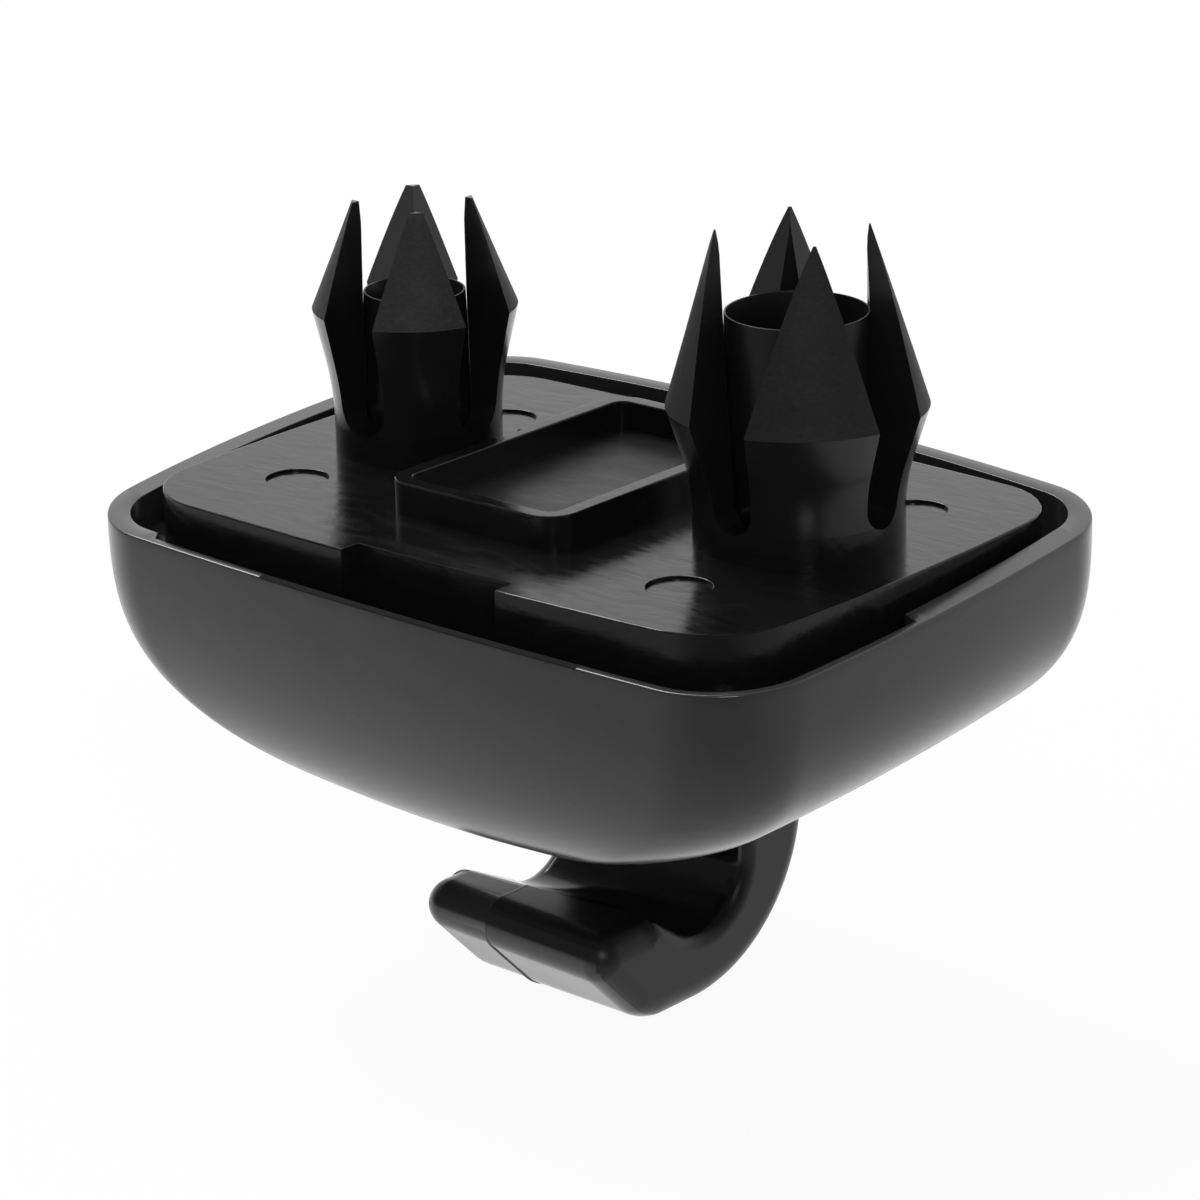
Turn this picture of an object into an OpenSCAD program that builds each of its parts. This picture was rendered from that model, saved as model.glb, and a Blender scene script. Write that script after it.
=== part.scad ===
// Ceiling clip that holds the free end of a car's sun visor.
// Millimetres, +Z up towards the roof. The origin is midway between the two plugs, in the plane
// of the plate's top face, which seats against the roof lining. +X is towards the large plug and
// the hook opens towards -Y.

/* [Cover] */
// Length of the cover's rim between the corners' tangent lines, before its ends bow out
cover_l = 42.7; // [41:0.1:48]
// Width of the cover's rim before its sides bow out
cover_w = 30.1; // [29.6:0.1:34]
// Corner radius of the rim
cover_corner_r = 4.4; // [3:0.1:5.5]
// Depth of the dome below the rim
cover_depth = 14.2; // [14:0.05:16]
// How far each long side of the rim bows out
side_bow = 1.13; // [0:0.01:1.5]
// How far the end beside the small plug bows out
small_end_bow = 1.5; // [0:0.01:2]
// How far the end beside the large plug bows out
large_end_bow = 0.8; // [0:0.01:2]
// Wall at the two ends of the rim
end_wall = 1.35; // [1:0.05:1.6]
// Wall along the two long sides of the rim
side_wall = 1; // [0.8:0.05:1.4]
// Thickness of the dome's floor
floor_t = 1.6; // [1.2:0.1:2]
// Wall of the thin lip along the front of the rim
lip_wall = 0.45; // [0.35:0.05:0.7]
// Where the thin lip begins, along X
lip_start_x = -15.7; // [-18:0.1:-10]
// Where the thin lip ends on the large plug's side, along Y from the cover's middle
lip_end_y = -2; // [-6:0.1:4]
// Depth of the step inside the thin lip, below the roof plane
lip_floor = 2.7; // [2.2:0.1:3.2]
// Distance from the plugs' line to the cover's middle, towards the front
cover_offset = 0.92; // [0.5:0.02:1.3]
// Distance from the plugs' middle to the cover's middle, towards the large plug
cover_shift = 0.15; // [0:0.05:0.3]

/* [Rim height] */
// Rim below the roof plane at its middle
rim_drop = 0.69; // [0.4:0.01:1]
// Rise of the rim towards the back, per millimetre
rim_rise = 0.058; // [0:0.002:0.07]
// Fall of the rim towards the large plug, per millimetre
rim_fall = 0.016; // [0:0.002:0.03]
// Extra fall of the rim at its ends
rim_sag = 0.25; // [0:0.05:0.5]

/* [Plate] */
// Gap between the pad and the cover's inner wall, before the pad bows
groove = 0.78; // [0.6:0.02:1.2]
// How far each side of the pad bows out
pad_bow = 0.66; // [0:0.02:1]
// Corner radius of the pad
pad_corner_r = 3.9; // [2.5:0.1:5]
// Shift of the pad towards the large plug, from the cover's middle
pad_shift = 0.2; // [0:0.05:0.3]
// Height of the raised pad
pad_t = 2.7; // [2.2:0.1:2.9]
// Thickness of the flange under the pad
flange_t = 1.3; // [1.1:0.1:1.5]
// Clearance between the flange and the cover's inner wall
flange_clear = 0.45; // [0.4:0.05:0.8]
// Latch notch in the pad's front edge: middle, along X
notch_x = 1.05; // [0:0.05:2]
// Latch notch: width
notch_w = 9.9; // [8:0.1:12]
// Latch notch: depth from the pad's front edge
notch_d = 1.25; // [1:0.05:1.4]

/* [Tray] */
// Length of the raised tray, along X
tray_l = 11.3; // [10.5:0.1:11.8]
// Width of the raised tray, along Y
tray_w = 17.9; // [15:0.1:18.4]
// Middle of the tray, along X
tray_x = -0.8; // [-1:0.05:-0.5]
// Middle of the tray, along Y
tray_y = -0.25; // [-0.6:0.05:0.3]
// Height of the tray's rim above the pad
tray_h = 1.7; // [1:0.1:2.2]
// Wall of the tray
tray_wall = 0.9; // [0.7:0.05:1.2]
// Depth of the tray below its rim
tray_depth = 1.5; // [1:0.1:4.4]
// Corner radius of the tray
tray_corner_r = 1.6; // [1.2:0.1:2.4]

/* [Plugs] */
// Distance between the axes of the two plugs
plug_gap = 24.86; // [24:0.02:26]
// Height of the slots' lowest point above the pad
slot_floor = 1.4; // [1:0.1:2]
// Height of the living hinges above the slots' lowest point
hinge_rise = 0.15; // [0.1:0.01:0.25]

/* [Large plug] */
// Neck radius
large_neck_r = 5.15; // [5.05:0.05:5.3]
// Inner radius of the prongs and the bore
large_bore_r = 3.6; // [3.4:0.05:3.7]
// Width of the slots at their round bottoms
large_slot_w = 2.3; // [2:0.05:2.6]
// Lean of each side of a slot from upright, in degrees
large_slot_draft = 6.3; // [6:0.1:6.5]
// Barb radius
large_barb_r = 6.35; // [6.1:0.05:6.4]
// Barb height
large_barb_z = 6.7; // [6.2:0.1:7.4]
// Height of the prongs' tips
large_tip_z = 15.4; // [14.6:0.1:15.4]
// Thickness of a prong's tip
large_tip_t = 0.22; // [0.2:0.01:0.4]
// How far the prongs' tips lean in
large_tip_in = 0.1; // [0:0.05:0.3]
// Height of the expander's rim
large_post_z = 11.3; // [9.5:0.1:11.4]
// Fold of each prong when the cover is fully down, in degrees
large_fold = 12.5; // [6:0.5:12.5]

/* [Small plug] */
// Neck radius
small_neck_r = 4.28; // [4.15:0.01:4.4]
// Inner radius of the prongs and the bore
small_bore_r = 2.8; // [2.6:0.05:2.95]
// Width of the slots at their round bottoms
small_slot_w = 2.95; // [2.7:0.05:3.1]
// Lean of each side of a slot from upright, in degrees
small_slot_draft = 1.8; // [1.6:0.1:2.4]
// Barb radius
small_barb_r = 5.2; // [5:0.05:5.4]
// Barb height
small_barb_z = 7.4; // [6.6:0.1:8]
// Height of the prongs' tips
small_tip_z = 12.9; // [12:0.1:13.2]
// Thickness of a prong's tip
small_tip_t = 0.45; // [0.3:0.05:0.6]
// How far the prongs' tips lean in
small_tip_in = 0.35; // [0:0.05:0.4]
// Height of the expander's rim
small_post_z = 8.2; // [7.4:0.1:8.8]
// Fold of each prong when the cover is fully down, in degrees
small_fold = 9.5; // [4:0.5:10]

/* [Expanders] */
// Travel of the cover from seated to released
travel = 11.5; // [10:0.5:12.5]
// Clearance between an expander and its bore
post_clear = 0.1; // [0.05:0.01:0.15]
// Wall of an expander
post_wall = 0.75; // [0.6:0.05:1.1]
// Depth of the hollow in an expander's top
post_hollow = 6.5; // [3:0.5:7.5]
// Height of the bosses' top faces, below the roof plane
boss_drop = 9.5; // [9:0.1:10]
// Wall that the boss adds round an expander
boss_wall = 1; // [0.6:0.1:1.4]

/* [Hook] */
// Width of the hook, along X
hook_w = 12.5; // [10:0.25:13]
// Radius of the rod seat
seat_r = 3.15; // [2.8:0.05:3.2]
// Depth of the rod seat's axis below the roof plane
seat_drop = 19.1; // [18.9:0.1:20]
// Thickness of the hook's arm
arm_t = 5.4; // [4.9:0.05:5.6]
// Radius of the hook's outer bend
bend_r = 9.05; // [8.6:0.05:9.4]
// Depth of the hook's lowest line below the seat's axis
hook_depth = 6.95; // [6.6:0.05:7.2]
// Radius of the hook's lip
lip_r = 1.45; // [1.3:0.05:1.6]
// Reach of the lip's axis in front of the seat's axis
lip_reach = 6.5; // [6.2:0.05:6.7]
// Depth of the lip's axis below the seat's axis
lip_drop = 2.75; // [2.6:0.05:2.9]
// Radius of the corner between the lip's slanted underside and the hook's lowest line
heel_r = 2; // [1:0.25:3]
// Slope from the lip into the seat, in degrees
lip_slope = 35; // [25:1:40]
// Gap under the cover's dome where the root block ends, below the roof plane
block_drop = 14.6; // [14.2:0.05:14.8]
// Clearance between the hook's block and the cover's opening
slot_clear = 0.3; // [0.2:0.05:0.4]
// Step in the outer face, where the two halves of the mould meet
mould_step = 0.15; // [0:0.05:0.4]
// Where that step lies, along X
mould_step_x = -2; // [-4:0.1:2]

/* [Marks] */
// Radius of the ejector pin marks
mark_r = 1.6; // [1.2:0.1:1.8]
// Depth of the ejector pin marks
mark_depth = 0.15; // [0.1:0.01:0.25]

/* [Hidden] */

// Each plug as one row: axis X, neck, bore, slot width and lean, barb radius and height, tip
// height, thickness and lean, expander height, fold
LARGE = [plug_gap / 2, large_neck_r, large_bore_r, large_slot_w, large_slot_draft,
    large_barb_r, large_barb_z, large_tip_z, large_tip_t, large_tip_in, large_post_z, large_fold];
SMALL = [-plug_gap / 2, small_neck_r, small_bore_r, small_slot_w, small_slot_draft,
    small_barb_r, small_barb_z, small_tip_z, small_tip_t, small_tip_in, small_post_z, small_fold];
PLUGS = [LARGE, SMALL];
function axis_x(p) = p[0];
function neck_r(p) = p[1];
function bore_r(p) = p[2];
function slot_w(p) = p[3];
function draft(p) = p[4];
function barb_r(p) = p[5];
function barb_z(p) = p[6];
function tip_z(p) = p[7];
function tip_t(p) = p[8];
function tip_in(p) = p[9];
function post_z(p) = p[10];
function fold(p) = p[11];

hinge_z = slot_floor + hinge_rise;
plate_bottom = -pad_t - flange_t;
cavity_l = cover_l - 2 * end_wall;
cavity_w = cover_w - 2 * side_wall;
pad_l = cavity_l - 2 * groove;
pad_w = cavity_w - 2 * groove;
boss_top = -boss_drop;
seat_z = -seat_drop;
arm_back = seat_r + arm_t;
block_front = -lip_reach - lip_r;
block_bottom = -block_drop;
fine = 96;
over = 1;
reach_out = 3;
boss_facets = 48;
dome_rings = 18;
corner_steps = 7;
side_steps = 12;
end_steps = 8;
bend_steps = 24;
lip_steps = 12;
heel_steps = 6;
post_steps = 8;

// Sharpness of the dome's shoulders (first number) and fullness near its bottom (second), for
// its profile along X and across Y
along = [3.7, 1.2];
across = [2.19, 4.443];

// Four ejector pin marks on the pad, measured from the plugs' line
marks = [[-13.4, -8], [-11.85, 5.95], [12.6, -9.2], [14.4, 6.6]];

function arc(centre, r, a0, a1, n) =
    [for (i = [0:n]) centre + r * [cos(a0 + (a1 - a0) * i / n), sin(a0 + (a1 - a0) * i / n)]];

function between(p, q, n) = [for (i = [1:n - 1]) p + (q - p) * i / n];

// Rounded rectangle with points along its straight sides, so that they can bow
function round_rect(l, w, r) =
    let (x = l / 2 - r, y = w / 2 - r)
    concat(
        arc([x, y], r, 0, 90, corner_steps), between([x, w / 2], [-x, w / 2], side_steps),
        arc([-x, y], r, 90, 180, corner_steps), between([-l / 2, y], [-l / 2, -y], end_steps),
        arc([-x, -y], r, 180, 270, corner_steps), between([-x, -w / 2], [x, -w / 2], side_steps),
        arc([x, -y], r, 270, 360, corner_steps), between([l / 2, -y], [l / 2, y], end_steps)
    );

// Bows each side of an outline out by a parabola: long sides, small plug's end, large plug's end
function bowed(outline, l, w, sides, small_end, large_end) =
    [for (p = outline)
        let (along_end = 1 - pow(2 * p[1] / w, 2), along_side = 1 - pow(2 * p[0] / l, 2))
        [
            p[0] + (p[0] < 0 ? -small_end : large_end) * along_end * abs(2 * p[0] / l),
            p[1] + sign(p[1]) * sides * along_side * abs(2 * p[1] / w)
        ]];

function rim_outline(l, w, r) =
    bowed(round_rect(l, w, r), l, w, side_bow, small_end_bow, large_end_bow);

function rim_z(x, y) =
    -rim_drop + rim_rise * y - rim_fall * x - rim_sag * pow(2 * x / cover_l, 2);

function dome_ring(outline, depth, t) =
    let (
        sx = pow(1 - pow(t, along[0]), 1 / along[1]),
        sy = pow(1 - pow(t, across[0]), 1 / across[1])
    )
    [for (p = outline)
        let (x = p[0] * sx, y = p[1] * sy)
        [x, y, rim_z(x, y) - depth * t]];

// Closed dome under the rim, or the same dome with its top lifted to cut a cavity
module dome(outline, depth, lift) {
    n = len(outline);
    rings = [for (i = [0:dome_rings - 1]) dome_ring(outline, depth, sin(90 * i / dome_rings))];
    lifted = [for (p = rings[0]) p + [0, 0, lift]];
    levels = lift > 0 ? concat([lifted], rings) : rings;
    m = len(levels);
    points = concat(
        [[0, 0, rim_z(0, 0) + lift], [0, 0, rim_z(0, 0) - depth]],
        [for (level = levels) each level]
    );
    faces = concat(
        [for (i = [0:n - 1]) [0, 2 + (i + 1) % n, 2 + i]],
        [for (k = [0:m - 2], i = [0:n - 1])
            let (a = 2 + k * n, j = (i + 1) % n)
            [a + i, a + j, a + n + j]],
        [for (k = [0:m - 2], i = [0:n - 1])
            let (a = 2 + k * n, j = (i + 1) % n)
            [a + i, a + n + j, a + n + i]],
        [for (i = [0:n - 1]) [1, 2 + (m - 1) * n + i, 2 + (m - 1) * n + (i + 1) % n]]
    );
    translate([cover_shift, -cover_offset, 0]) polyhedron(points, faces, convexity = 6);
}

// ---- Base plate and hook ----

module outline_slab(outline, x, z, t) {
    translate([cover_shift + x, -cover_offset, z]) linear_extrude(t) polygon(outline);
}

module pad() {
    outline_slab(bowed(round_rect(pad_l, pad_w, pad_corner_r), pad_l, pad_w,
        pad_bow, pad_bow, pad_bow), pad_shift, -pad_t, pad_t);
}

module flange() {
    l = cavity_l - 2 * flange_clear;
    w = cavity_w - 2 * flange_clear;
    outline_slab(rim_outline(l, w, cover_corner_r - end_wall), 0, plate_bottom, flange_t);
}

module tray_block(inset, z0, z1) {
    l = tray_l - 2 * inset;
    w = tray_w - 2 * inset;
    translate([tray_x, tray_y, z0])
        linear_extrude(z1 - z0) polygon(round_rect(l, w, tray_corner_r - inset));
}

module latch_notch() {
    front = -cover_offset - pad_w / 2 - pad_bow + notch_d;
    translate([notch_x - notch_w / 2, front - reach_out, plate_bottom - over])
        cube([notch_w, reach_out, -plate_bottom + 2 * over]);
}

// Slots along X and Y that part a plug into four prongs: round at the bottom, wider to the top
module prong_slots(p) {
    r = slot_w(p) / 2;
    bend_z = slot_floor + r;
    low = [r * cos(draft(p)), bend_z - r * sin(draft(p))];
    top_z = tip_z(p) + over;
    top_x = low[0] + (top_z - low[1]) * tan(draft(p));
    reach = barb_r(p) + over;
    for (turn = [0, 90]) rotate([0, 0, turn]) translate([0, reach, 0]) rotate([90, 0, 0]) {
        linear_extrude(2 * reach)
            polygon([[-low[0], low[1]], low, [top_x, top_z], [-top_x, top_z]]);
        translate([0, bend_z, 0]) cylinder(r = r, h = 2 * reach, $fn = fine);
    }
}

module base_plate() {
    color("#151517") difference() {
        union() {
            pad();
            flange();
            tray_block(0, -pad_t, tray_h);
            for (p = PLUGS) translate([axis_x(p), 0, -pad_t])
                cylinder(r = neck_r(p), h = pad_t + hinge_z, $fn = fine);
        }
        tray_block(tray_wall, tray_h - tray_depth, tray_h + over);
        latch_notch();
        for (p = PLUGS) translate([axis_x(p), 0, 0]) {
            translate([0, 0, plate_bottom - over])
                cylinder(r = bore_r(p), h = hinge_z - plate_bottom + 2 * over, $fn = fine);
            prong_slots(p);
        }
        for (m = marks) translate([m[0], m[1], -mark_depth])
            cylinder(r = mark_r, h = mark_depth + over, $fn = fine);
    }
}

// Outline of the J in the plane across X, as [y, z]. step draws its outer faces in.
function hook_outline(step) =
    let (
        bend = [arm_back - bend_r, seat_z - hook_depth + bend_r],
        lip = [-lip_reach, seat_z - lip_drop],
        r = lip_r - step,
        low_z = bend[1] - bend_r + step,
        corner_y = lip[0] + lip[1] - low_z - r * sqrt(2),
        heel = [corner_y + (heel_r - step) * tan(22.5), low_z + heel_r - step],
        tangent = [0, seat_z] + seat_r * [-sin(lip_slope), -cos(lip_slope)],
        crest_z = lip[1] + lip_r,
        crest_y = tangent[0] - (crest_z - tangent[1]) / tan(lip_slope)
    )
    concat(
        [[block_front, block_bottom], [block_front, plate_bottom], [arm_back, plate_bottom],
            [arm_back, block_bottom]],
        arc(bend, bend_r - step, 0, -90, bend_steps),
        arc(heel, heel_r - step, -90, -135, heel_steps),
        arc(lip, r, -135, -270, lip_steps),
        [[crest_y, lip[1] + r], tangent, [seat_r, seat_z], [seat_r, block_bottom]]
    );

module hook_slice(x0, x1, step) {
    translate([x0, 0, 0]) rotate([90, 0, 90])
        linear_extrude(x1 - x0) polygon(hook_outline(step));
}

module visor_hook() {
    color("#151517") difference() {
        union() {
            hook_slice(-hook_w / 2, mould_step_x, mould_step);
            hook_slice(mould_step_x, hook_w / 2, 0);
        }
        translate([-hook_w / 2 - over, 0, seat_z]) rotate([0, 90, 0])
            cylinder(r = seat_r, h = hook_w + 2 * over, $fn = fine);
    }
}

// ---- Prongs ----

module prong_ring(p) {
    rotate_extrude($fn = fine) polygon([
        [bore_r(p), hinge_z], [neck_r(p), hinge_z], [barb_r(p), barb_z(p)],
        [bore_r(p) - tip_in(p) + tip_t(p), tip_z(p)], [bore_r(p) - tip_in(p), tip_z(p)]
    ]);
}

module prong(p, quarter) {
    color("#19191b") translate([axis_x(p), 0, 0]) rotate([0, 0, 90 * quarter]) intersection() {
        difference() {
            prong_ring(p);
            prong_slots(p);
        }
        cube([barb_r(p) + over, barb_r(p) + over, tip_z(p) + over]);
    }
}

// ---- Cover and expanders ----

// Radius of an expander at height z. It tapers above the hinges so that the prongs, which lean
// and fold in as the cover comes down, always clear it.
function post_r(p, z) =
    let (
        fold_rate = fold(p) * PI / 180 / travel,
        lean = tip_in(p) / (tip_z(p) - hinge_z),
        above = max(0, z - hinge_z)
    )
    bore_r(p) - post_clear - lean * above - fold_rate * above * above / 4;

module expander(p) {
    rise = post_z(p) - hinge_z;
    inner = post_r(p, post_z(p)) - post_wall;
    color("#101012") translate([axis_x(p), 0, 0]) rotate_extrude($fn = fine) polygon(concat(
        [[0, boss_top], [post_r(p, 0), boss_top]],
        [for (i = [0:post_steps])
            let (z = hinge_z + rise * i / post_steps)
            [post_r(p, z), z]],
        [[inner, post_z(p)], [inner, post_z(p) - post_hollow], [0, post_z(p) - post_hollow]]
    ));
}

module cover_boss(p) {
    translate([axis_x(p), 0, boss_top - cover_depth])
        cylinder(r = bore_r(p) + boss_wall, h = cover_depth, $fn = boss_facets);
}

module cover_cavity() {
    difference() {
        dome(rim_outline(cavity_l, cavity_w, cover_corner_r - end_wall),
            cover_depth - floor_t, reach_out);
        for (p = PLUGS) cover_boss(p);
    }
}

module hook_opening() {
    translate([-hook_w / 2 - slot_clear, block_front - slot_clear, -cover_depth - reach_out])
        cube([hook_w + 2 * slot_clear, arm_back - block_front + 2 * slot_clear, cover_depth]);
}

module lip_rebate() {
    l = cover_l - 2 * lip_wall;
    w = cover_w - 2 * lip_wall;
    intersection() {
        outline_slab(rim_outline(l, w, cover_corner_r - lip_wall), 0, -lip_floor,
            lip_floor + reach_out);
        translate([lip_start_x, -cover_offset - cover_w, -lip_floor])
            cube([cover_l, cover_w + lip_end_y, lip_floor + reach_out]);
    }
}

module cover_shell() {
    color("#2c2c2e") difference() {
        dome(rim_outline(cover_l, cover_w, cover_corner_r), cover_depth, 0);
        cover_cavity();
        hook_opening();
        lip_rebate();
    }
}

base_plate();
visor_hook();
cover_shell();
expander(LARGE);  // large_expander
expander(SMALL);  // small_expander
for (quarter = [0:3]) {
    prong(LARGE, quarter);
    prong(SMALL, quarter);
}
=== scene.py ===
"""Looks for the sun visor's ceiling clip: moulded shapes, plastics, studio and camera.

Shapes are written in millimetres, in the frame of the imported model, and become metres when a
mesh is made. The sizes under "as in the source" repeat those of the part's source.
"""

import math

import bmesh
import bpy
from mathutils import Matrix, Vector


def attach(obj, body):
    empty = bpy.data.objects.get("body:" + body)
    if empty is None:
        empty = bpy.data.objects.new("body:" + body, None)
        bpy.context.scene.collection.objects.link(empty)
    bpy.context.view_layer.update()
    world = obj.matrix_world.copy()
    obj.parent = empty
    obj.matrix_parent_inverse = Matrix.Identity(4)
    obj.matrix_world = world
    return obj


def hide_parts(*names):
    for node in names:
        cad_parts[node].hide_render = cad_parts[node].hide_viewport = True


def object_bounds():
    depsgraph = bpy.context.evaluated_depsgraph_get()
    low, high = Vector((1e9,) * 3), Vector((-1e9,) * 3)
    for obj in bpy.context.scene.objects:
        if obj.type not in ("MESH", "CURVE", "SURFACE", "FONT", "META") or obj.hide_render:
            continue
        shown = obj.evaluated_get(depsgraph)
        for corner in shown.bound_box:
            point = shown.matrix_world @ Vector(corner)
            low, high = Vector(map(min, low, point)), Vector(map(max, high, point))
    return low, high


MM = 0.001


def mm(value):
    return value * MM


# ---- Camera: where the photograph was taken from, in metres and radians ----
CAMERA_PLACE = (mm(157.136), mm(-179.584), mm(77.013))
CAMERA_YAW, CAMERA_PITCH, CAMERA_ROLL = -0.72, -0.334, -0.023
CAMERA_LENS, SENSOR = 151.5, 36.0
CAMERA_SHIFT = (-0.00046, -0.00094)
CAMERA_CLIP = (0.01, 20)

# ---- Studio, in metres and watts ----
FLOOR_SIZE = 3.0
FLOOR_GAP = mm(0.05)
FLOOR_COLOUR = (0.9, 0.9, 0.9, 1)
FLOOR_WHITE_SHARE = 0.94
WORLD_LIGHT, WHITE = 0.37, 1.0
# What the plastics mirror: a base plus a slope along the direction, kept between two levels.
SKY_BASE, SKY_SLOPE = 0.44, (-0.2, 0.84, -0.5)
SKY_LEAST, SKY_MOST = 0.13, 1.15
FLOOR_BASE, FLOOR_SLOPE, FLOOR_BLEND = 0.48, (-0.4, 0.44, 0.85), mm(30)
# Two soft light strips in what is mirrored: direction and gain, with their outer and full cosine.
STRIPS = (((0.02, -1.0, 0), 0.3), ((0.99, -0.14, 0), 0.2))
STRIP_OUTER, STRIP_FULL = 0.88, 0.97
# Area lamps aimed at the part: name, place, size and watts.
LAMPS = (
    ("key", (-0.5, 0.1, 0.7), (0.5, 0.5), 6),
    ("fill", (0.5, -0.45, 0.4), (0.16, 0.12), 1.2),
)

# ---- Finishes ----
BLUE_CAST = 1.03
# Name, darkest and lightest grey, middle roughness and index of refraction.
COVER_FINISHES = (
    ("cover_satin", 0.021, 0.031, 0.235, 1.5),
    # The rim's upward faces take a lighter grey than the dome of the same plastic: painted light
    # for the white they mirror.
    ("cover_rim_painted_light", 0.03, 0.042, 0.2, 1.6),
    # The thin lip's middle takes a darker, duller grey than the satin: painted shade for the dark
    # plugs it mirrors.
    ("cover_lip_painted_shade", 0.008, 0.014, 0.85, 1.2),
)
COVER_ROUGH_SPREAD = 0.025
# Name, least roughness and index of refraction.
HOOK_FINISHES = (("hook_gloss", 0.12, 1.52), ("hook_satin", 0.3, 1.33))
HOOK_ROUGH_SPAN = 0.12
# Name, darkest and lightest grey.
LARGE_GRAIN = ("large_prong_grain", 0.003, 0.019)
# The small plug's cones take a lighter grey than the large plug's cones of the same plastic:
# painted light for the extra light they catch.
SMALL_GRAIN_PAINTED_LIGHTER = ("small_prong_grain_painted_lighter", 0.008, 0.04)
# Name, scale of the noise, greys, roughness and index of refraction.
PRONG_FINISH = ("prong_gloss", 260, (0.005, 0.01), (0.16, 0.26), 1.5)
POST_FINISH = ("post_black", 320, (0.003, 0.008), (0.32, 0.46), 1.36)

# ---- Meshes: how near points are joined, in millimetres, and what still counts as flat ----
JOIN, EDGE_JOIN, FINE_JOIN, FLAT_ANGLE = 0.002, 0.001, 0.0005, 0.5

# ---- Cover, as in the source ----
COVER_L, COVER_W, COVER_CORNER = 42.7, 30.1, 4.4
COVER_DEPTH, FLOOR_T = 14.2, 1.6
SIDE_BOW, SMALL_END_BOW, LARGE_END_BOW = 1.13, 1.5, 0.8
END_WALL, SIDE_WALL, LIP_WALL = 1.35, 1.0, 0.45
LIP_START_X, LIP_END_Y, LIP_FLOOR = -15.7, -2.0, -2.7
COVER_PLACE = (0.15, -0.92)
RIM_DROP, RIM_RISE, RIM_FALL, RIM_SAG = 0.69, 0.058, 0.016, 0.25
# Exponents of the dome's curve, lengthwise and across: that of the depth and that of the root.
ALONG, ACROSS = (3.7, 1.2), (2.19, 4.443)
SLOT_CLEAR = 0.3

# ---- Cover, in the scene alone ----
RIM_ROUND, RIM_STEPS = 0.11, 4
RIM_INNER_ROUND, RIM_INNER_STEPS = 0.05, 3
STEP_RISE, INNER_DOME_START = 0.3, 3.2
# Span along x where the thin lip is painted darker, as painted shade for the dark plugs it
# mirrors.
PAINTED_SHADE_LIP = (-7.5, 12.6)
CORNER_STEPS, SIDE_STEPS, END_STEPS, DOME_RINGS = 16, 76, 48, 44
OPENING_LOW, OPENING_HIGH = -20, -3
# Faces above this are painted a lighter grey, as painted light.
# The least upward part of the normal at which a face belongs to the rim's top.
RIM_FACING = 0.2
# The search for the dome's inner face: the deepest share it looks at and its halvings.
DEEPEST, HALVINGS = 0.999, 40

# ---- Plate: where the source has its marks, its tray's floor and its notch ----
MARKS, MARK_R = ((-13.4, -8), (-11.85, 5.95), (12.6, -9.2), (14.4, 6.6)), 1.6
TRAY_LOW, TRAY_HIGH, TRAY_FLOOR = (-5.6, -8.4), (4.0, 7.9), 0.2
NOTCH_LOW, NOTCH_HIGH, NOTCH_BACK = -4.2, 6.3, -12.7

# ---- Plate, in the scene alone: edge roundings as width and steps, and which edges get them ----
PLATE_ROUND, NOTCH_ROUND, MARK_ROUND = (0.16, 3), (0.05, 2), (0.04, 2)
PLATE_SHARP, PLATE_PLAIN_BELOW = 28, -2.6
MARK_FLOOR, MARK_TOP, MARK_REACH = -0.2, 0.01, 0.05
TRAY_FACING, TRAY_MARGIN = 0.99, 0.02
NECK_REACH = 0.1

# ---- Plugs, as in the source ----
HINGE_Z, SLOT_FLOOR = 1.55, 1.4
BOSS_TOP, BOSS_WALL = -9.5, 1.0
LARGE = {
    "name": "large", "x": 12.43, "neck": 5.15, "bore": 3.6, "slot": 2.3, "draft": 6.3,
    "barb": 6.35, "barb_z": 6.7, "tip_z": 15.4, "tip_t": 0.22, "tip_in": 0.1, "post_z": 11.3,
}
SMALL = {
    "name": "small", "x": -12.43, "neck": 4.28, "bore": 2.8, "slot": 2.95, "draft": 1.8,
    "barb": 5.2, "barb_z": 7.4, "tip_z": 12.9, "tip_t": 0.45, "tip_in": 0.35, "post_z": 8.2,
}

# ---- Plugs, in the scene alone ----
# The share of the height up to the barb over which a prong curves out of its neck.
ROOT_CURVE = 0.55
# How far each prong's tip leans, prong by prong, and which way.
LEAN = {"large": (-0.2, 0.1, -0.18, 0.44), "small": (0.18, 0.18, -0.1, 0.14)}
LEAN_WAY, LEAN_POWER = (0.75, 0.66), 2.2
ARC_STEPS, ROOT_LEVELS, ROOT_CROWDING, NECK_LEVELS, CONE_LEVELS = 12, 12, 1.6, 12, 14
PRONG_ROUND, PRONG_SHARP, PLAIN_ROOT, BARB_MARGIN = (0.08, 2), 24, 0.6, 0.01
# The least wall, and the least outward part of the normal, at which a cone's face is grained.
GRAIN_WALL, GRAIN_FACING = 0.1, 0.75
BOSS_STEPS, BOSS_LEAST, BOSS_SINK = 64, 0.1, FLOOR_T / 4
TUBE_STEPS, TUBE_LEVELS, TUBE_SINK = 96, (-3, 0, 3, 6), 0.05
TUBE_GAP, TUBE_WALL, TUBE_LIP, TUBE_TAPER = 0.1, 0.55, 0.1, 3.0
TUBE_LIP_EDGE, TUBE_LIP_CORNER = 0.03, 0.3
TUBE_HOLLOW, TUBE_END_ROUND = 6.5, 0.3

# ---- Hook, as in the source ----
HOOK_W = 12.5
SEAT_R, SEAT_Z = 3.15, -19.1
ARM_BACK, BEND_R, HOOK_DEPTH = 8.55, 9.05, 6.95
LIP_R, LIP_REACH, LIP_DROP, LIP_SLOPE = 1.45, 6.5, 2.75, 35
BLOCK_BOTTOM, PLATE_BOTTOM, BLOCK_FRONT = -14.6, -4.0, -7.95

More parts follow.
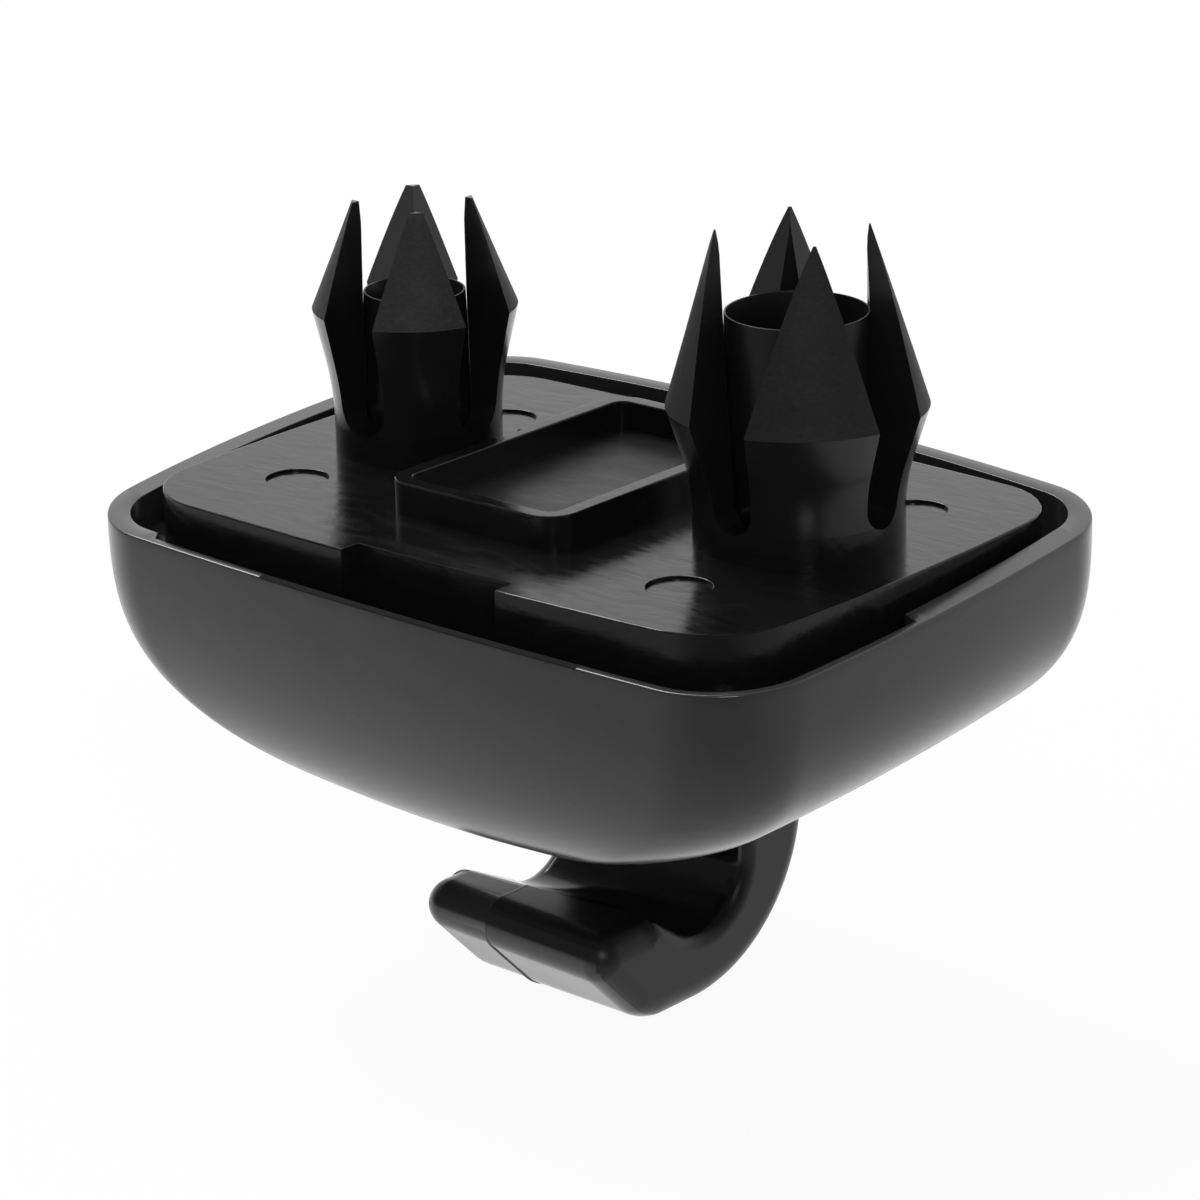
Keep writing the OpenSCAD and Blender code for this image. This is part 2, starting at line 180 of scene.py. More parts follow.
# ---- Hook, in the scene alone ----
HEEL_R, HEEL_TURN, CREST_SKEW, LIP_LIFT = 3.4, 45, 1.1, 0.45
BEND_STEPS, HEEL_STEPS, LIP_STEPS, CREST_STEPS = 48, 10, 24, 6
THROAT_STEPS, SEAT_STEPS, BACK_STEPS = 5, 30, 8
OUTER_ROUND, INNER_ROUND, BLOCK_ROUND, ROUND_STEPS = 1.4, 0.9, 0.3, 12
# The mould line is a groove between two halves of unequal height, faint on the hook's inside.
MOULD_STEP, MOULD_LINE_X, MOULD_FADE, MOULD_FADE_STEPS = 0.06, -1.6, 0.15, 12
MOULD_LINE = ((-0.12, 2 * MOULD_STEP), (-0.04, 0), (0.04, 0), (0.12, MOULD_STEP))
# The least sideways part of the normal at which the hook is satin.
SATIN_FACING = 0.55

# ---- Angles in degrees above which a piece's edge stays sharp ----
SHARP = {"cover": 32, "boss": 30, "plate": 24, "prong": 20, "tube": 50, "hook": 26}


# ---- Node helpers ----
class Nodes:
    """A short way to build one node tree."""

    def __init__(self, tree):
        self.tree = tree

    def add(self, kind, **settings):
        node = self.tree.nodes.new(kind)
        for name, value in settings.items():
            setattr(node, name, value)
        return node

    def link(self, a, b):
        self.tree.links.new(a, b)

    def value(self, operation, a, b):
        node = self.add("ShaderNodeMath", operation=operation)
        for socket, item in zip(node.inputs, (a, b)):
            if isinstance(item, bpy.types.NodeSocket):
                self.link(item, socket)
            else:
                socket.default_value = item
        return node.outputs[0]

    def dot(self, vector, fixed):
        node = self.add("ShaderNodeVectorMath", operation="DOT_PRODUCT")
        self.link(vector, node.inputs[0])
        node.inputs[1].default_value = fixed
        return node.outputs["Value"]

    def remap(self, source, low, high, to_low, to_high):
        node = self.add("ShaderNodeMapRange")
        self.link(source, node.inputs["Value"])
        ends = {"From Min": low, "From Max": high, "To Min": to_low, "To Max": to_high}
        for name, item in ends.items():
            node.inputs[name].default_value = item
        return node.outputs["Result"]

    def noise(self, vector, scale, detail, roughness=0.5, distortion=0.0):
        node = self.add("ShaderNodeTexNoise")
        self.link(vector, node.inputs["Vector"])
        node.inputs["Scale"].default_value = scale
        node.inputs["Detail"].default_value = detail
        node.inputs["Roughness"].default_value = roughness
        node.inputs["Distortion"].default_value = distortion
        return node.outputs["Fac"]

    def stretched(self, vector, scale, turn=0):
        """The vector scaled by axis and turned about z."""
        node = self.add("ShaderNodeMapping")
        self.link(vector, node.inputs["Vector"])
        node.inputs["Scale"].default_value = scale
        node.inputs["Rotation"].default_value = (0, 0, turn)
        return node.outputs["Vector"]

    def mix_colour(self, factor, a, b):
        """A mix of two colours, which are the node's inputs 6 and 7 and its output 2."""
        node = self.add("ShaderNodeMix", data_type="RGBA")
        self.link(factor, node.inputs[0])
        node.inputs[6].default_value = a
        node.inputs[7].default_value = b
        return node.outputs[2]

    def mix_shaders(self, factor, a, b):
        node = self.add("ShaderNodeMixShader")
        for socket, source in zip(node.inputs, (factor, a, b)):
            self.link(source, socket)
        return node.outputs[0]

    def bump(self, pattern, strength, height, under=None):
        node = self.add("ShaderNodeBump")
        self.link(pattern, node.inputs["Height"])
        node.inputs["Strength"].default_value = strength
        node.inputs["Distance"].default_value = height
        if under is not None:
            self.link(under, node.inputs["Normal"])
        return node.outputs["Normal"]


def empty_nodes(owner):
    """An empty node tree on a material or world."""
    owner.use_nodes = True
    owner.node_tree.nodes.clear()
    return Nodes(owner.node_tree)


# ---- Plastics ----
def grey(level):
    return (level, level, level * BLUE_CAST, 1)


class Plastic:
    """A moulded plastic whose grey, roughness and bumps follow noise fixed to the piece."""

    def __init__(self, name, ior):
        self.made = bpy.data.materials.new(name)
        self.nodes = empty_nodes(self.made)
        self.shader = self.nodes.add("ShaderNodeBsdfPrincipled")
        self.shader.inputs["IOR"].default_value = ior
        out = self.nodes.add("ShaderNodeOutputMaterial")
        self.nodes.link(self.shader.outputs[0], out.inputs[0])
        self.place = self.nodes.add("ShaderNodeTexCoord").outputs["Object"]

    def noise(self, scale, detail, stretch=None, turn=0, **settings):
        place = self.place
        if stretch:
            place = self.nodes.stretched(place, stretch, turn)
        return self.nodes.noise(place, scale, detail, **settings)

    def tint(self, pattern, dark, light):
        colour = self.nodes.mix_colour(pattern, grey(dark), grey(light))
        self.nodes.link(colour, self.shader.inputs["Base Color"])

    def roughen(self, pattern, span, roughness):
        """Roughness between two values as the pattern crosses its span."""
        level = self.nodes.remap(pattern, *span, *roughness)
        self.nodes.link(level, self.shader.inputs["Roughness"])

    def emboss(self, *layers):
        """Bumps in layers, each a pattern with its strength and its height in millimetres."""
        normal = None
        for pattern, strength, height in layers:
            normal = self.nodes.bump(pattern, strength, mm(height), normal)
        self.nodes.link(normal, self.shader.inputs["Normal"])
        return self.made


def plate_black():
    """Gloss with clouds and drifting smudges, as moulding and handling leave it."""
    plastic = Plastic("plate_gloss", 1.37)
    cloud = plastic.noise(560, 5, (0.4, 1, 1), 0.35, roughness=0.62, distortion=1.6)
    drift = plastic.noise(1300, 4, (0.3, 1, 1), -0.2, roughness=0.6, distortion=0.8)
    fine = plastic.noise(3000, 3)
    smudge = plastic.nodes.value("ADD", cloud, drift)
    plastic.tint(cloud, 0.004, 0.01)
    plastic.roughen(plastic.nodes.value("MULTIPLY", smudge, 0.5), (0.38, 0.62), (0.1, 0.24))
    return plastic.emboss((cloud, 0.5, 0.035), (drift, 0.4, 0.015), (fine, 0.1, 0.008))


def tray_grey():
    """The tray's floor, left rough by the mould, with swirls."""
    plastic = Plastic("tray_scuffed", 1.34)
    swirl = plastic.noise(420, 5, (0.35, 1, 1), 0.6, roughness=0.6, distortion=2.4)
    spots = plastic.noise(1500, 3)
    plastic.tint(swirl, 0.001, 0.013)
    plastic.roughen(swirl, (0.3, 0.7), (0.42, 0.29))
    return plastic.emboss((swirl, 0.4, 0.02), (spots, 0.4, 0.02))


def hook_black(name, least_rough, ior):
    plastic = Plastic(name, ior)
    cloud = plastic.noise(220, 3)
    fine = plastic.noise(1900, 3)
    plastic.tint(cloud, 0.006, 0.012)
    plastic.roughen(cloud, (0.35, 0.7), (least_rough, least_rough + HOOK_ROUGH_SPAN))
    return plastic.emboss((cloud, 0.35, 0.06), (fine, 0.15, 0.01))


def cover_plastic(name, dark, light, rough, ior):
    """Satin with a fine even grain."""
    spread = (rough - COVER_ROUGH_SPREAD, rough + COVER_ROUGH_SPREAD)
    plastic = Plastic(name, ior)
    cloud = plastic.noise(420, 5, roughness=0.6)
    grain = plastic.noise(5200, 2)
    plastic.tint(cloud, dark, light)
    plastic.roughen(cloud, (0.3, 0.7), spread)
    return plastic.emboss((grain, 0.25, 0.01))


def prong_grain(name, dark, light):
    """The dull, grained outer faces of the cones."""
    plastic = Plastic(name, 1.34)
    cloud = plastic.noise(420, 3)
    grain = plastic.noise(3600, 4, (1, 1, 1.8), roughness=0.7)
    plastic.tint(grain, dark, light)
    plastic.roughen(cloud, (0.3, 0.7), (0.55, 0.72))
    return plastic.emboss((grain, 0.6, 0.02))


def clouded_black(name, scale, greys, roughness, ior):
    plastic = Plastic(name, ior)
    cloud = plastic.noise(scale, 3)
    plastic.tint(cloud, *greys)
    plastic.roughen(cloud, (0.3, 0.7), roughness)
    return plastic.emboss((cloud, 0.3, 0.05))


# ---- Mesh helpers ----
def new_mesh(name, points, faces):
    """A mesh from points in millimetres."""
    mesh = bpy.data.meshes.new(name)
    mesh.from_pydata([[mm(c) for c in p] for p in points], [], faces)
    return mesh


def finish_piece(name, mesh, finishes, sharp, body, nodes=()):
    """A piece that rides on a body and takes the place of CAD nodes."""
    made = bpy.data.objects.new(name, mesh)
    bpy.context.scene.collection.objects.link(made)
    for finish in finishes:
        mesh.materials.append(finish)
    for face in mesh.polygons:
        face.use_smooth = True
    mesh.set_sharp_from_angle(angle=math.radians(sharp))
    weighted = made.modifiers.new("weighted_normals", "WEIGHTED_NORMAL")
    weighted.keep_sharp = True
    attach(made, body)
    if nodes:
        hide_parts(*nodes)


def loft(rings):
    """Faces between closed rings of equal length, with the two ends capped."""
    n = len(rings[0])
    points = [p for ring in rings for p in ring]
    faces = []
    for k in range(len(rings) - 1):
        for i in range(n):
            j = (i + 1) % n
            faces.append((k * n + i, k * n + j, (k + 1) * n + j, (k + 1) * n + i))
    last = (len(rings) - 1) * n
    faces.append(tuple(reversed(range(n))))
    faces.append(tuple(range(last, last + n)))
    return points, faces


def tidy_mesh(mesh, join=JOIN):
    """Joins points that fall together and turns the faces outwards."""
    work = bmesh.new()
    work.from_mesh(mesh)
    bmesh.ops.remove_doubles(work, verts=work.verts, dist=mm(join))
    bmesh.ops.dissolve_degenerate(work, edges=work.edges, dist=mm(join))
    bmesh.ops.recalc_face_normals(work, faces=work.faces)
    work.to_mesh(mesh)
    work.free()


def round_edges(mesh, rounding, angle, wanted):
    """Rounds the convex edges sharper than an angle for which wanted(a, b) is true.

    The rounding is a width and a number of steps, and a and b are the edge's ends.
    """
    width, steps = rounding
    work = bmesh.new()
    work.from_mesh(mesh)
    bmesh.ops.remove_doubles(work, verts=work.verts, dist=mm(EDGE_JOIN))
    bmesh.ops.dissolve_limit(work, angle_limit=math.radians(FLAT_ANGLE), verts=work.verts,
                             edges=work.edges)
    chosen = []
    for edge in work.edges:
        if len(edge.link_faces) != 2 or not edge.is_convex:
            continue
        if edge.calc_face_angle(0) < math.radians(angle):
            continue
        a, b = (v.co / MM for v in edge.verts)
        if wanted(a, b):
            chosen.append(edge)
    bmesh.ops.bevel(work, geom=chosen, offset=mm(width), offset_type="OFFSET", segments=steps,
                    profile=0.5, affect="EDGES", clamp_overlap=True)
    bmesh.ops.remove_doubles(work, verts=work.verts, dist=mm(FINE_JOIN))
    bmesh.ops.recalc_face_normals(work, faces=work.faces)
    work.to_mesh(mesh)
    work.free()


def box_mesh(name, low, high):
    mesh = bpy.data.meshes.new(name)
    work = bmesh.new()
    middle = Vector([(a + b) / 2 * MM for a, b in zip(low, high)])
    size = [(b - a) * MM for a, b in zip(low, high)]
    matrix = Matrix.Translation(middle) @ Matrix.Diagonal((*size, 1))
    bmesh.ops.create_cube(work, size=1, matrix=matrix)
    work.to_mesh(mesh)
    work.free()
    return mesh


def cut(mesh, cutter_mesh):
    """The mesh with the cutter's space taken out of it."""
    body = bpy.data.objects.new("cut_body", mesh)
    cutter = bpy.data.objects.new("cutter", cutter_mesh)
    for obj in (body, cutter):
        bpy.context.scene.collection.objects.link(obj)
    taken = body.modifiers.new("opening", "BOOLEAN")
    taken.operation = "DIFFERENCE"
    taken.solver = "EXACT"
    taken.object = cutter
    bpy.context.view_layer.update()
    seen = body.evaluated_get(bpy.context.evaluated_depsgraph_get())
    result = bpy.data.meshes.new_from_object(seen)
    for obj in (body, cutter):
        bpy.data.objects.remove(obj)
    return result


# ---- Outline helpers ----
def arc(centre, radius, start, end, steps):
    """Points on an arc between two angles in degrees."""
    turns = [math.radians(start + (end - start) * i / steps) for i in range(steps + 1)]
    return [(centre[0] + radius * math.cos(a), centre[1] + radius * math.sin(a)) for a in turns]


def circle(x, radius, steps):
    """Points on a circle about a plug's axis at x."""
    turns = [2 * math.pi * i / steps for i in range(steps)]
    return [(x + radius * math.cos(a), radius * math.sin(a)) for a in turns]


def between(p, q, steps):
    """Points on the way from p to q, without its ends."""
    shares = [i / steps for i in range(1, steps)]
    return [(p[0] + (q[0] - p[0]) * s, p[1] + (q[1] - p[1]) * s) for s in shares]


def toward(p, q, distance):
    length = math.dist(p, q)
    return (p[0] + (q[0] - p[0]) * distance / length, p[1] + (q[1] - p[1]) * distance / length)


# ---- Cover ----
def rim_outline(length, width, radius):
    """The bowed outline of the rim, with its middle at the origin."""
    x, y = length / 2 - radius, width / 2 - radius
    ends, sides = length / 2, width / 2
    points = arc((x, y), radius, 0, 90, CORNER_STEPS)
    points += between((x, sides), (-x, sides), SIDE_STEPS)
    points += arc((-x, y), radius, 90, 180, CORNER_STEPS)
    points += between((-ends, y), (-ends, -y), END_STEPS)
    points += arc((-x, -y), radius, 180, 270, CORNER_STEPS)
    points += between((-x, -sides), (x, -sides), SIDE_STEPS)
    points += arc((x, -y), radius, 270, 360, CORNER_STEPS)
    points += between((ends, -y), (ends, y), END_STEPS)
    bowed = []
    for px, py in points:
        along_end = (1 - (2 * py / width) ** 2) * abs(2 * px / length)
        along_side = (1 - (2 * px / length) ** 2) * abs(2 * py / width)
        end_bow = -SMALL_END_BOW if px < 0 else LARGE_END_BOW
        bowed.append((px + end_bow * along_end, py + math.copysign(SIDE_BOW, py) * along_side))
    return bowed


def rim_z(x, y):
    return -RIM_DROP + RIM_RISE * y - RIM_FALL * x - RIM_SAG * (2 * x / COVER_L) ** 2


def dome_reach(t):
    """The shares of its length and width that the dome still has at a share t of its depth."""
    return (1 - t ** ALONG[0]) ** (1 / ALONG[1]), (1 - t ** ACROSS[0]) ** (1 / ACROSS[1])


def dome_point(p, depth, t):
    along, across = dome_reach(t)
    x, y = p[0] * along, p[1] * across
    return (x, y, rim_z(x, y) - depth * t)


def in_lip(p):
    return p[0] + COVER_PLACE[0] > LIP_START_X and p[1] < LIP_END_Y


def inset_outline(end_inset, side_inset):
    return rim_outline(COVER_L - 2 * end_inset, COVER_W - 2 * side_inset,
                       COVER_CORNER - end_inset)


def cover_rings():
    """Rings from the bottom of the dome, up its outside, over the rim and down its inside."""
    outer, lip = inset_outline(0, 0), inset_outline(LIP_WALL, LIP_WALL)
    wall = inset_outline(END_WALL, SIDE_WALL)
    thin = [in_lip(p) for p in outer]
    edge = [a if flag else b for flag, a, b in zip(thin, lip, wall)]
    levels = [math.sin(math.pi / 2 * k / DOME_RINGS) for k in range(DOME_RINGS)]
    rings = [[dome_point(p, COVER_DEPTH, t) for p in outer] for t in reversed(levels[1:])]
    rings = [ring for ring in rings if ring[0][2] < rim_z(*ring[0][:2]) - 2 * RIM_ROUND]
    for step in range(RIM_STEPS + 1):
        turn = math.pi / 2 * step / RIM_STEPS
        inset, lift = RIM_ROUND * (1 - math.cos(turn)), RIM_ROUND * (math.sin(turn) - 1)
        rings.append([(*toward(p, q, inset), rim_z(*p) + lift) for p, q in zip(outer, edge)])
    for step in range(RIM_INNER_STEPS + 1):
        turn = math.pi / 2 * step / RIM_INNER_STEPS
        inset = RIM_INNER_ROUND * (1 - math.sin(turn))
        lift = RIM_INNER_ROUND * (math.cos(turn) - 1)
        rings.append([(*toward(q, p, inset), rim_z(*q) + lift) for p, q in zip(outer, edge)])
    rings.append([(*a, LIP_FLOOR) if flag else (*b, LIP_FLOOR + STEP_RISE)
                  for flag, a, b in zip(thin, lip, wall)])
    depth = COVER_DEPTH - FLOOR_T
    rings.append([dome_point(p, depth, (rim_z(*p) - LIP_FLOOR) / depth) for p in wall])
    rings += [[dome_point(p, depth, t) for p in wall]
              for t in levels if depth * t > INNER_DOME_START]
    return [[(p[0] + COVER_PLACE[0], p[1] + COVER_PLACE[1], p[2]) for p in ring]
            for ring in rings]


def cover_surface(face):
    """0 for the dome, 1 for the rim's top, painted a lighter grey as painted light, and 2 for the
    middle of the thin lip, painted darker as painted shade.
    """
    x, y, z = (c / MM for c in face.center)
    under_rim = z < rim_z(x - COVER_PLACE[0], y - COVER_PLACE[1]) - RIM_ROUND
    if under_rim or face.normal.z < RIM_FACING:
        return 0
    # The middle of the thin lip, which takes the darker grey of painted shade.
    painted_shade = PAINTED_SHADE_LIP[0] < x < PAINTED_SHADE_LIP[1] and y < LIP_END_Y
    return 2 if painted_shade else 1


def build_cover(finishes):
    mesh = new_mesh("cover_solid", *loft(cover_rings()))
    tidy_mesh(mesh, FINE_JOIN)
    side, front, back = HOOK_W / 2 + SLOT_CLEAR, BLOCK_FRONT - SLOT_CLEAR, ARM_BACK + SLOT_CLEAR
    opening = box_mesh("cover_opening", (-side, front, OPENING_LOW), (side, back, OPENING_HIGH))
    mesh = cut(mesh, opening)
    tidy_mesh(mesh, FINE_JOIN)
    mesh.name = "cover_moulding"
    for face in mesh.polygons:
        face.material_index = cover_surface(face)
    finish_piece("cover_moulding", mesh, finishes, SHARP["cover"], "cover",
                 ["cover_shell"])


def inner_floor_z(x, y):
    """Height of the dome's inner face under a point, found by halving."""
    px, py = x - COVER_PLACE[0], y - COVER_PLACE[1]
    half_l, half_w = COVER_L / 2 - END_WALL, COVER_W / 2 - SIDE_WALL
    low, high = 0.0, DEEPEST
    for _ in range(HALVINGS):
        t = (low + high) / 2
        along, across = dome_reach(t)
        if abs(px) < half_l * along and abs(py) < half_w * across:
            low = t
        else:
            high = t
    return rim_z(px, py) - (COVER_DEPTH - FLOOR_T) * low


def build_boss(plug, finish):
    """The round stand on the dome's inner face that carries a tube."""
    ring = circle(plug["x"], plug["bore"] + BOSS_WALL, BOSS_STEPS)
    low = [(x, y, min(BOSS_TOP - BOSS_LEAST, inner_floor_z(x, y) - BOSS_SINK)) for x, y in ring]
    name = plug["name"] + "_expander_boss"
    mesh = new_mesh(name, *loft([low, [(x, y, BOSS_TOP) for x, y in ring]]))
    finish_piece(name, mesh, [finish], SHARP["boss"], "cover")


# ---- Plate ----
def on_mark(p):
    return any(math.hypot(p.x - x, p.y - y) < MARK_R + MARK_REACH for x, y in MARKS)


def at_mark(a, b):
    return all(MARK_FLOOR < p.z < MARK_TOP and on_mark(p) for p in (a, b))


def at_notch(a, b):
    return all(NOTCH_LOW < p.x < NOTCH_HIGH and p.y < NOTCH_BACK for p in (a, b))


def at_neck(a, b):
    """True where an end lies on a plug above the plate."""
    return any(math.hypot(p.x - plug["x"], p.y) < plug["neck"] + NECK_REACH and p.z > -NECK_REACH
               for plug in (LARGE, SMALL) for p in (a, b))


def on_plate(a, b):
    return min(a.z, b.z) >= PLATE_PLAIN_BELOW and not at_mark(a, b) and not at_neck(a, b)


def tray_floor(face):
    x, y, z = (c / MM for c in face.center)
    inside = TRAY_LOW[0] < x < TRAY_HIGH[0] and TRAY_LOW[1] < y < TRAY_HIGH[1]
    return inside and face.normal.z > TRAY_FACING and abs(z - TRAY_FLOOR) < TRAY_MARGIN


def build_plate(node, finish, tray_finish):
    """The CAD plate with rounded edges."""
    mesh = node.data.copy()
    mesh.materials.clear()
    round_edges(mesh, PLATE_ROUND, PLATE_SHARP, lambda a, b: on_plate(a, b) and not at_notch(a, b))
    round_edges(mesh, NOTCH_ROUND, PLATE_SHARP, lambda a, b: on_plate(a, b) and at_notch(a, b))
    round_edges(mesh, MARK_ROUND, PLATE_SHARP, at_mark)
    for face in mesh.polygons:
        face.material_index = int(tray_floor(face))
    finish_piece("plate_moulding", mesh, [finish, tray_finish], SHARP["plate"], "base",
                 ["base_plate"])


# ---- Prongs and expanders ----
def slot_half(plug, z):
    """Half the slot's width between two prongs: round at its bottom, then opening upwards."""
    radius = plug["slot"] / 2
    bend = SLOT_FLOOR + radius
    draft = math.radians(plug["draft"])
    low_x, low_z = radius * math.cos(draft), bend - radius * math.sin(draft)
    if z < low_z:
        return math.sqrt(max(0, radius ** 2 - (z - bend) ** 2))
    return low_x + (z - low_z) * math.tan(draft)


def outer_radius(plug, z):
    """The prong's outside: curving out of the neck, straight to the barb, then a cone."""
    if z <= plug["barb_z"]:
        s = (z - HINGE_Z) / (plug["barb_z"] - HINGE_Z)
        if s < ROOT_CURVE:
            share = s * s / (ROOT_CURVE * (2 - ROOT_CURVE))
        else:
            share = (2 * s - ROOT_CURVE) / (2 - ROOT_CURVE)
        return plug["neck"] + (plug["barb"] - plug["neck"]) * share
    s = (z - plug["barb_z"]) / (plug["tip_z"] - plug["barb_z"])
    tip = plug["bore"] - plug["tip_in"] + plug["tip_t"]
    return plug["barb"] + (tip - plug["barb"]) * s


def inner_radius(plug, z):
    return plug["bore"] - plug["tip_in"] * max(0, z - HINGE_Z) / (plug["tip_z"] - HINGE_Z)


def prong_ring(plug, quarter, z):
    """One level of a prong: its outer arc and back along its inner arc, turned and leaned."""
    half = slot_half(plug, z)
    points = []
    for radius, forward in ((outer_radius(plug, z), True), (inner_radius(plug, z), False)):
        edge = math.degrees(math.asin(min(1, half / radius)))
        if edge >= 45:
            points += [(half, half)] * (ARC_STEPS + 1)
        else:
            row = arc((0, 0), radius, edge, 90 - edge, ARC_STEPS)
            points += row if forward else row[::-1]
    rise = (z - HINGE_Z) / (plug["tip_z"] - HINGE_Z)
    lean = LEAN[plug["name"]][quarter] * rise ** LEAN_POWER
    turn = math.radians(90 * quarter)
    ring = []
    for x, y in points:
        px = x * math.cos(turn) - y * math.sin(turn) + lean * LEAN_WAY[0]
        py = x * math.sin(turn) + y * math.cos(turn) + lean * LEAN_WAY[1]
        ring.append((plug["x"] + px, py, z))
    return ring


def prong_levels(plug):
    """Heights of a prong's rings, close together where the slot is round."""
    bend, barb = SLOT_FLOOR + plug["slot"] / 2, plug["barb_z"]
    root = [HINGE_Z + (bend - HINGE_Z) * (i / ROOT_LEVELS) ** ROOT_CROWDING
            for i in range(ROOT_LEVELS)]
    neck = [bend + (barb - bend) * i / NECK_LEVELS for i in range(NECK_LEVELS)]
    cone = [barb + (plug["tip_z"] - barb) * i / CONE_LEVELS for i in range(CONE_LEVELS + 1)]
    return root + neck + cone


def grained(plug, face):
    """True for the cone's outer face."""
    x, y, z = (c / MM for c in face.center)
    x -= plug["x"]
    reach = math.hypot(x, y)
    outward = face.normal.x * x + face.normal.y * y > GRAIN_FACING * reach
    return z > plug["barb_z"] and reach > inner_radius(plug, z) + GRAIN_WALL and outward


def build_prong(plug, quarter, grain, gloss):
    name = f"{plug['name']}_prong_{quarter + 1}"
    mesh = new_mesh(name, *loft([prong_ring(plug, quarter, z) for z in prong_levels(plug)]))
    tidy_mesh(mesh)

    def wanted(a, b):
        root = max(a.z, b.z) < HINGE_Z + PLAIN_ROOT
        barb = all(abs(p.z - plug["barb_z"]) < BARB_MARGIN for p in (a, b))
        return not root and not barb

    round_edges(mesh, PRONG_ROUND, PRONG_SHARP, wanted)
    for face in mesh.polygons:
        face.material_index = 0 if grained(plug, face) else 1
    finish_piece(name + "_moulding", mesh, [grain, gloss], SHARP["prong"], name,
                 [name])


def build_expander(plug, finish):
    """A thin-lipped tube, thicker below its lip."""
    def radius(z):
        return min(plug["bore"] - TUBE_GAP, inner_radius(plug, z))

    top, edge = plug["post_z"], TUBE_LIP_EDGE
    heights = [z for z in (BOSS_TOP - TUBE_SINK, *TUBE_LEVELS, top - edge) if z <= top - edge]
    outer, bore = radius(top), radius(top) - TUBE_WALL
    profile = [(radius(z), z) for z in heights]
    corner = TUBE_LIP_CORNER * edge
    profile += [(outer - corner, top - corner), (outer - edge, top)]
    profile += [(outer - TUBE_LIP, top), (outer - TUBE_LIP - edge, top - 2 * edge)]
    profile += [(bore, top - TUBE_TAPER), (bore, top - TUBE_HOLLOW + TUBE_END_ROUND)]
    profile += [(bore - TUBE_END_ROUND, top - TUBE_HOLLOW)]
    rings = [[(x, y, z) for x, y in circle(plug["x"], r, TUBE_STEPS)] for r, z in profile]
    name = plug["name"] + "_expander"
    finish_piece(name + "_post", new_mesh(name + "_post", *loft(rings)), [finish],
                 SHARP["tube"], "cover", [name])


# ---- Hook ----
def hook_outline(x):
    """Points [y, z] of the J at x, each with its share of the mould step and its end rounding."""
    slope = math.radians(LIP_SLOPE)
    bend = (ARM_BACK - BEND_R, SEAT_Z - HOOK_DEPTH + BEND_R)
    share = (HOOK_W / 2 - x) / HOOK_W
    skew, lift = CREST_SKEW * share, LIP_LIFT * share
    lip = (-LIP_REACH, SEAT_Z - LIP_DROP + lift)
    low_z = bend[1] - BEND_R
    corner_y = lip[0] + lip[1] - low_z - LIP_R * math.sqrt(2)
    heel = (corner_y + HEEL_R * math.tan(math.radians(HEEL_TURN / 2)), low_z + HEEL_R)
    tangent = (-SEAT_R * math.sin(slope), SEAT_Z - SEAT_R * math.cos(slope))
    crest_z = lip[1] + LIP_R
    crest = (tangent[0] - (crest_z - tangent[1]) / math.tan(slope) - skew, crest_z)
    rows = []

    def add(points, step, rounding):
        rows.extend((p, step, rounding) for p in points)

    add([(BLOCK_FRONT, BLOCK_BOTTOM), (BLOCK_FRONT, PLATE_BOTTOM)], 0, BLOCK_ROUND)
    add([(ARM_BACK, PLATE_BOTTOM), (ARM_BACK, BLOCK_BOTTOM)], 0, BLOCK_ROUND)
    add(arc(bend, BEND_R, 0, -90, BEND_STEPS), 1, OUTER_ROUND)
    add(arc(heel, HEEL_R, -90, -90 - HEEL_TURN, HEEL_STEPS), 1, OUTER_ROUND)
    for i, point in enumerate(arc(lip, LIP_R, -90 - HEEL_TURN, -270, LIP_STEPS)):
        add([point], max(MOULD_FADE, 1 - i / MOULD_FADE_STEPS), OUTER_ROUND)
    add(between(rows[-1][0], crest, CREST_STEPS), MOULD_FADE, OUTER_ROUND)
    add([crest], MOULD_FADE, (OUTER_ROUND + INNER_ROUND) / 2)
    add(between(crest, tangent, THROAT_STEPS), 0, INNER_ROUND)
    add(arc((0, SEAT_Z), SEAT_R, -90 - LIP_SLOPE, 0, SEAT_STEPS), 0, INNER_ROUND)
    add(between((SEAT_R, SEAT_Z), (SEAT_R, BLOCK_BOTTOM), BACK_STEPS), 0, INNER_ROUND)
    add([(SEAT_R, BLOCK_BOTTOM)], 0, BLOCK_ROUND)
    return rows


def offset_point(rows, i, distance):
    """Point i of the outline moved into the material, square to its neighbours."""
    before, here, after = rows[i - 1][0], rows[i][0], rows[(i + 1) % len(rows)][0]
    normals = []
    for p, q in ((before, here), (here, after)):
        length = math.dist(p, q)
        if length > 1e-6:
            normals.append(((p[1] - q[1]) / length, (q[0] - p[0]) / length))
    nx, ny = sum(n[0] for n in normals), sum(n[1] for n in normals)
    size = math.hypot(nx, ny)
    nx, ny = nx / size, ny / size
    mitre = nx * normals[0][0] + ny * normals[0][1]
    return (here[0] + nx * distance / mitre, here[1] + ny * distance / mitre)


def hook_ring(x, from_end, step):
    """The J at x, drawn in towards the hook's ends and raised by its mould step."""
    rows, ring = hook_outline(x), []
    for i, (_, step_share, rounding) in enumerate(rows):
        depth = max(0, rounding - from_end)
        inset = rounding - math.sqrt(max(0, rounding ** 2 - depth ** 2))
        y, z = offset_point(rows, i, -(inset + step * step_share))
        ring.append((x, y, z))
    return ring


